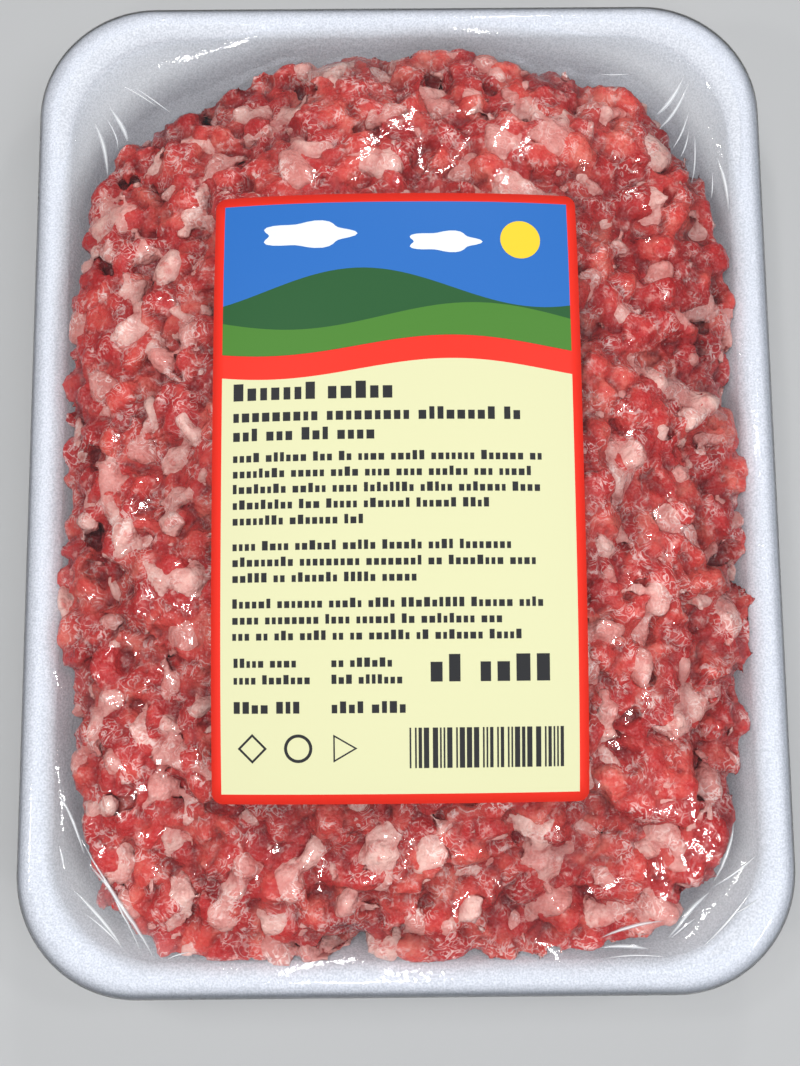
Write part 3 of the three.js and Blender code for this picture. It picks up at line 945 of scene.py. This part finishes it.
def crease(drape, x0, y0, x1, y1, width):
    """A low ridge on the film that tapers at both ends."""
    shares = np.linspace(0, 1, CREASE_STEPS + 1)
    along = np.array([x1 - x0, y1 - y0])
    across = np.array([-along[1], along[0]]) / np.linalg.norm(along)
    bow = CREASE_BOW * np.linalg.norm(along) * np.sin(shares * math.pi)
    taper = np.sin(shares * math.pi) ** CREASE_TAPER
    points, fade = [], []
    for side in CREASE_SIDES:
        shift = bow + side * width / 2 * taper
        x = x0 + along[0] * shares + across[0] * shift
        y = y0 + along[1] * shares + across[1] * shift
        ridge = CREASE_HEIGHT * width * taper * (1 - abs(side))
        points.append(np.column_stack([x, y, sampled(drape, x, y) + CREASE_LIFT + ridge]))
        # the crease shows most, with its painted highlight, along the ridge and midway along it
        fade.append(np.sqrt(taper) * (1 - abs(side)) ** CREASE_FADE)
    count = CREASE_STEPS + 1
    starts = count * np.arange(len(CREASE_SIDES) - 1)[:, None] + np.arange(CREASE_STEPS)
    faces = starts.reshape(-1, 1) + (0, 1, count + 1, count)
    return np.concatenate(points), faces, np.concatenate(fade)


def film_creases(drape):
    """All the creases as one piece, painted white along their ridges as highlights."""
    ridges, faces, fades = zip(*[crease(drape, *values) for values in CREASES])
    starts = len(ridges[0]) * np.arange(len(CREASES))[:, None, None]
    faces = (np.array(faces) + starts).reshape(-1, 4)
    # the creases' white haze is a painted highlight along each ridge
    looks = {"fade": np.concatenate(fades), "haze": CREASE_PAINTED_HIGHLIGHT * np.concatenate(fades)}
    material = film_material("film_creases", 0.5, 0.12, fading=True)
    add_piece("film_creases", np.concatenate(ridges), faces, material, "stretch_film", "film", **looks)


# Label

PAPER_ROUGHNESS = 0.5
LABEL_RED = (0.90, 0.030, 0.014)
CREAM = (0.73, 0.72, 0.43)
SKY_BLUE = (0.022, 0.15, 0.50)
DARK_GREEN = (0.020, 0.10, 0.028)
LEAF_GREEN = (0.07, 0.22, 0.028)
CLOUD_WHITE = (0.82, 0.86, 0.90)
SUN_YELLOW = (0.90, 0.62, 0.03)
INK = (0.02, 0.02, 0.022)

LABEL_OUTLINE = (LABEL_WIDTH / 2, LABEL_LENGTH / 2, LABEL_CORNER_RADIUS)
LABEL_FACETS = {"corner": 5, "side_x": 16, "side_y": 24}
LABEL_RINGS = np.linspace(0.05, 1, 16)  # sizes of the rings of each face

# The print's edges, and what is on it: places and sizes in mm from the label's middle
BORDER = 1.6
PRINT_EDGE = LABEL_WIDTH / 2 - BORDER
PRINT_END = LABEL_LENGTH / 2 - BORDER
PRINT_SEED = 5
CURVE_STEPS = 40
WAVE_REACH = 30  # half the length of a wave
# Waves: height at rest, rise and phase
BAND_TOP = (24, 1.6, 0.6)
BAND_BASE = (20, 1.6, 0.6)
FAR_HILLS = (34, 3.4, 2.2)
NEAR_HILLS = (29, 2.2, 0.2)
# Clouds and sun: place, half-width and half-height
CLOUDS = ((-15, 43.6, 7.5, 2.3), (8, 42, 5.8, 1.8))
CLOUD_LOBES = 5
LOBE_DEPTH = 0.14
SUN = (21, 42.5, 3.4, 3.4)
# Headings: middle, height and share of the print's width
HEADINGS = ((16.4, 2.9, 0.5), (12.4, 2.1, 0.88), (9.2, 2.1, 0.46))
# Paragraphs: middle of the first row, and the share of the width that each row takes
PARAGRAPHS = (
    (5.4, (0.97, 0.9, 0.94, 0.82, 0.4)),
    (-9.2, (0.88, 0.96, 0.56)),
    (-18.6, (0.93, 0.8, 0.86)),
)
TEXT_LEFT = 2 - PRINT_EDGE
TEXT_RIGHT = PRINT_EDGE - 1.5
ROW_PITCH = 2.6
WORD_HEIGHT = 1.55
# Words: least and most blocks, and for a row 1 high the blocks' widths, heights and gaps
WORD_BLOCKS = (2, 10)
BLOCK_WIDTHS = (0.38, 0.62)
BLOCK_HEIGHTS = (0.72, 0.72, 0.72, 1.0)
BLOCK_GAP = 0.24
WORD_GAP = 0.5
ROW_SPARE = 1.6  # no word starts nearer than this to the row's end
# Large blocks: left, right, middle and height
FIGURES = (5, 26, -29.2, 4.4)
# Small rows in columns: middle and height of each row, left and right of each column
COLUMN_ROWS = ((-28.2, 1.5), (-30.9, 1.5), (-35.4, 1.9))
COLUMNS = ((-27, -14), (-11, 1))
BARS_LEFT = 1.5
BARS_MIDDLE = -42
BARS_HEIGHT = 6.5
BAR_WIDTHS = (0.28, 0.28, 0.55, 0.85)
BAR_GAPS = (0.3, 0.3, 0.6)
# Marks: place, radius and number of corners
MARKS = ((-24, 2.4, 4), (-16.5, 2.3, 40), (-9.5, 2.6, 3))
MARK_LINE = 0.5


def on_label(u, v, lift):
    """A point of the label's top from its own coordinates, u across and v up it."""
    x, y = LABEL_X + u, LABEL_Y + v
    return np.stack([x, y, film_height(x, y) + LABEL_LIFT + lift], -1)


def label_sheet(material):
    """The paper: its underside from the middle out, then its top back to the middle."""
    rings = []
    for lift, shares in ((-LABEL_PAPER, LABEL_RINGS), (0, LABEL_RINGS[::-1])):
        for share in shares:
            outline = rounded_rectangle(*LABEL_OUTLINE, share=share, **LABEL_FACETS)
            rings.append(on_label(*outline.T, lift))
    points, faces = loft(rings, on_label(0, 0, -LABEL_PAPER), on_label(0, 0, 0))
    add_piece("label_border", points, faces, material, "paper_label", "label")


def print_piece(name, outlines, layer, colour):
    """Printed shapes of one colour, cut into cells and laid on the label."""
    mesh = bmesh.new()
    for outline in outlines:
        mesh.faces.new([mesh.verts.new((u, v, 0)) for u, v in outline])
    bmesh.ops.triangulate(mesh, faces=mesh.faces)
    for axis, half in enumerate(LABEL_OUTLINE[:2]):
        for cut in np.arange(-half, half, PRINT_CELL):
            bmesh.ops.bisect_plane(
                mesh,
                geom=mesh.verts[:] + mesh.edges[:] + mesh.faces[:],
                dist=1e-5,
                plane_co=(cut, cut, 0),
                plane_no=(1 - axis, axis, 0),
            )
    mesh.verts.index_update()
    flat = np.array([vertex.co[:2] for vertex in mesh.verts])
    faces = []
    for face in mesh.faces:
        corners = [vertex.index for vertex in face.verts]
        faces.append(corners if face.normal.z > 0 else corners[::-1])
    mesh.free()
    points = on_label(*flat.T, PRINT_LIFT * layer)
    material = plain_material(name, colour, PAPER_ROUGHNESS)
    add_piece(name, points, faces, material, "paper_label", "label", smooth=False)


def block(left, right, middle, height):
    """A rectangle, by its sides, middle and height."""
    low, high = middle - height / 2, middle + height / 2
    return [(left, low), (right, low), (right, high), (left, high)]


def ellipse(u, v, half_u, half_v, steps=CURVE_STEPS, lobes=0):
    """An ellipse, or with few steps a shape with as many corners, or a cloud with lobes."""
    angles = np.linspace(0, 2 * math.pi, steps, endpoint=False)
    reach = 1 + LOBE_DEPTH * np.cos(lobes * angles) if lobes else np.ones(steps)
    return list(zip(u + half_u * reach * np.cos(angles), v + half_v * reach * np.sin(angles)))


def ring(u, v, radius, width, steps):
    """A ring as a strip of small four-sided shapes."""
    outer = ellipse(u, v, radius, radius, steps)
    inner = ellipse(u, v, radius - width, radius - width, steps)
    return list(zip(outer, outer[1:] + outer[:1], inner[1:] + inner[:1], inner))


def word_row(rng, left, right, middle, height):
    """A row of little blocks in groups, in place of words."""
    shapes, u = [], left
    while u + ROW_SPARE * height < right:
        for _ in range(rng.integers(*WORD_BLOCKS)):
            width = height * rng.uniform(*BLOCK_WIDTHS)
            if u + width > right:
                break
            tall = height * rng.choice(BLOCK_HEIGHTS)
            shapes.append(block(u, u + width, middle - (height - tall) / 2, tall))
            u += width + BLOCK_GAP * height
        u += WORD_GAP * height
    return shapes


def wave(base, rise, phase):
    """Points of a gentle wave across the print."""
    u = np.linspace(-PRINT_EDGE, PRINT_EDGE, CURVE_STEPS)
    return list(zip(u, base + rise * np.sin(u / WAVE_REACH * math.pi + phase)))


def label_picture():
    """Hills under a sky with clouds and a sun, down to a red band."""
    band_top = wave(*BAND_TOP)
    sky = [*band_top, (PRINT_EDGE, PRINT_END), (-PRINT_EDGE, PRINT_END)]
    print_piece("label_sky", [sky], 1, SKY_BLUE)
    print_piece("label_far_hills", [band_top + wave(*FAR_HILLS)[::-1]], 2, DARK_GREEN)
    print_piece("label_near_hills", [band_top + wave(*NEAR_HILLS)[::-1]], 3, LEAF_GREEN)
    clouds = [ellipse(*cloud, lobes=CLOUD_LOBES) for cloud in CLOUDS]
    print_piece("label_clouds", clouds, 2, CLOUD_WHITE)
    print_piece("label_sun", [ellipse(*SUN)], 2, SUN_YELLOW)


def label_words():
    """Rows of blocks in place of words, plain bars and three simple marks."""
    rng = np.random.default_rng(PRINT_SEED)
    rows = list(HEADINGS)
    for first, shares in PARAGRAPHS:
        rows += [(first - n * ROW_PITCH, WORD_HEIGHT, share) for n, share in enumerate(shares)]
    shapes = []
    for middle, height, share in rows:
        row_end = TEXT_LEFT + (TEXT_RIGHT - TEXT_LEFT) * share
        shapes += word_row(rng, TEXT_LEFT, row_end, middle, height)
    shapes += word_row(rng, *FIGURES)
    for middle, height in COLUMN_ROWS:
        for left, right in COLUMNS:
            shapes += word_row(rng, left, right, middle, height)
    u = BARS_LEFT
    while u < TEXT_RIGHT - 1:
        width = rng.choice(BAR_WIDTHS)
        shapes.append(block(u, u + width, BARS_MIDDLE, BARS_HEIGHT))
        u += width + rng.choice(BAR_GAPS)
    for place, radius, corners in MARKS:
        shapes += ring(place, BARS_MIDDLE, radius, MARK_LINE, corners)
    print_piece("label_ink", shapes, 2, INK)


def paper_label():
    """The red paper with its cream panel, picture and words."""
    label_sheet(plain_material("label_red", LABEL_RED, PAPER_ROUGHNESS))
    panel = [(-PRINT_EDGE, -PRINT_END), (PRINT_EDGE, -PRINT_END), *wave(*BAND_BASE)[::-1]]
    print_piece("label_panel", [panel], 1, CREAM)
    label_picture()
    label_words()


# Stage

FLOOR_HALF = 0.9  # in metres, as are all sizes and places from here on
FLOOR_GREY = (0.50, 0.50, 0.50)
SKY_LIGHT = (0.82, 0.9, 1.0, 1)
SKY_STRENGTH = 0.2
# Large soft lights: place, size, power and colour
SOFT_LIGHTS = {
    "key": ((-0.15, 0.02, 0.8), (0.35, 0.3), 3.05, (1, 0.99, 0.97)),
    "fill": ((0.28, -0.12, 0.75), (0.3, 0.4), 1.9, (0.94, 0.97, 1)),
}
# Small lamps round the pack, for glints: direction and height, in degrees
GLINT_LIGHTS = ((20, 62), (80, 45), (140, 66), (200, 48), (265, 60), (320, 42))
GLINT_DISTANCE = 0.7
GLINT_SIZE = (0.05, 0.05)
GLINT_POWER = 0.35


def add_light(name, place, size, power, colour=(1, 1, 1), mirrored=True):
    """A rectangular light that faces the pack and, if mirrored, shows in its gloss."""
    lamp = bpy.data.lights.new(name, "AREA")
    lamp.shape = "RECTANGLE"
    lamp.size, lamp.size_y = size
    lamp.energy = power
    lamp.color = colour
    light = bpy.data.objects.new(name, lamp)
    light.location = place
    light.visible_glossy = mirrored
    light.rotation_euler = (-Vector(place)).to_track_quat("-Z", "Y").to_euler()
    bpy.context.scene.collection.objects.link(light)


def stage():
    """The floor, the even light all round and the lamps."""
    half = FLOOR_HALF / MM
    corners = [(x, y, 0) for x, y in block(-half, half, 0, 2 * half)]
    floor = mesh_object("floor", corners, [(0, 1, 2, 3)], plain_material("floor", FLOOR_GREY, 0.7))
    world = bpy.data.worlds.new("world")
    world.use_nodes = True
    sky = world.node_tree.nodes["Background"].inputs
    sky["Color"].default_value = SKY_LIGHT
    sky["Strength"].default_value = SKY_STRENGTH
    bpy.context.scene.world = world
    for name, (place, size, power, colour) in SOFT_LIGHTS.items():
        add_light(name, place, size, power, colour, mirrored=False)
    for number, (turn, rise) in enumerate(GLINT_LIGHTS):
        turn, rise = np.radians([turn, rise])
        flat = GLINT_DISTANCE * math.cos(rise)
        place = (flat * math.cos(turn), flat * math.sin(turn), GLINT_DISTANCE * math.sin(rise))
        add_light(f"glint_{number}", place, GLINT_SIZE, GLINT_POWER)
    bpy.context.scene.view_settings.view_transform = "Standard"


# The camera, solved from the corners of rim and label in the photo
PHOTO_HEIGHT = 1066  # in pixels
FOCAL_LENGTH = 1100  # in pixels
SENSOR = 36  # in millimetres
CAMERA_PLACE = (-0.0013, -0.0331, 0.2215)
CAMERA_TURN = (6.78, -0.15, -0.5)  # in degrees


def camera():
    """The camera at the photograph's viewing angle."""
    lens = bpy.data.cameras.new("camera")
    lens.sensor_width = SENSOR
    lens.lens = FOCAL_LENGTH / PHOTO_HEIGHT * SENSOR
    lens.clip_start = 0.01
    eye = bpy.data.objects.new("camera", lens)
    eye.location = CAMERA_PLACE
    eye.rotation_euler = [math.radians(angle) for angle in CAMERA_TURN]
    bpy.context.scene.collection.objects.link(eye)
    bpy.context.scene.camera = eye


foam_tray()
mince_points = mince()
drape = draped_heights(mince_points)
stretch_film(drape, film_material("film", 0.0, 0.07))
film_creases(drape)
paper_label()
stage()
camera()
